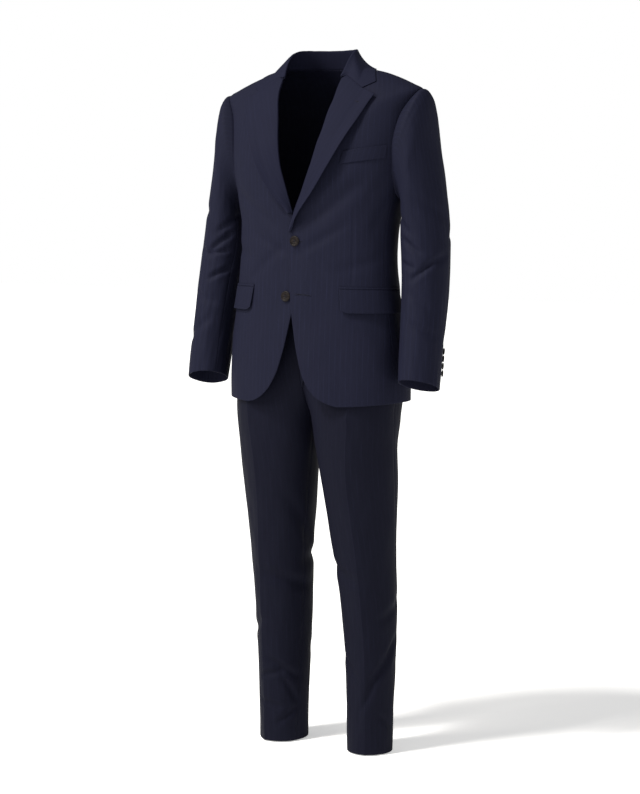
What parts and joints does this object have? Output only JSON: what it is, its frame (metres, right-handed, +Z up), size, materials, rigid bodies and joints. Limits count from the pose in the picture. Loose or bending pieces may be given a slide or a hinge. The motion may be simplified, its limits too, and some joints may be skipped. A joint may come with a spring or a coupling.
{
  "type": "two-piece suit",
  "caption": "Single-breasted two-button suit jacket with notched lapels over flat-front trousers, in the hollow form it takes when worn.",
  "frame": {"origin": "centre of the neck opening at the height of the shoulder seams' inner ends, where the wearer's shoulders carry the jacket", "axes": "+Z up, -Y to the front, +X to the wearer's left"},
  "size_m": [0.603, 0.2688, 1.5],
  "materials": {
    "navy_wool_jacket": "worsted wool with a fine tonal stripe",
    "navy_wool_trousers": "worsted wool with a fine tonal stripe",
    "horn_button": "dark horn-effect resin with a raised rim"
  },
  "bodies": {
    "root": {"jacket_front_left": "navy_wool_jacket", "jacket_side_left": "navy_wool_jacket", "jacket_back_left": "navy_wool_jacket", "sleeve_top_left": "navy_wool_jacket", "sleeve_under_left": "navy_wool_jacket", "lapel_left": "navy_wool_jacket", "pocket_jet_left": "navy_wool_jacket", "pocket_flap_left": "navy_wool_jacket", "trouser_front_left": "navy_wool_trousers", "trouser_back_left": "navy_wool_trousers", "cuff_button_left_1": "horn_button", "cuff_button_left_2": "horn_button", "cuff_button_left_3": "horn_button", "cuff_button_left_4": "horn_button", "jacket_front_right": "navy_wool_jacket", "jacket_side_right": "navy_wool_jacket", "jacket_back_right": "navy_wool_jacket", "sleeve_top_right": "navy_wool_jacket", "sleeve_under_right": "navy_wool_jacket", "lapel_right": "navy_wool_jacket", "pocket_jet_right": "navy_wool_jacket", "pocket_flap_right": "navy_wool_jacket", "trouser_front_right": "navy_wool_trousers", "trouser_back_right": "navy_wool_trousers", "cuff_button_right_1": "horn_button", "cuff_button_right_2": "horn_button", "cuff_button_right_3": "horn_button", "cuff_button_right_4": "horn_button", "collar": "navy_wool_jacket", "breast_welt": "navy_wool_jacket", "waistband": "navy_wool_trousers", "fly": "navy_wool_trousers", "front_button_upper": "horn_button", "front_button_lower": "horn_button", "waist_button": "horn_button"}
  },
  "joints": []
}
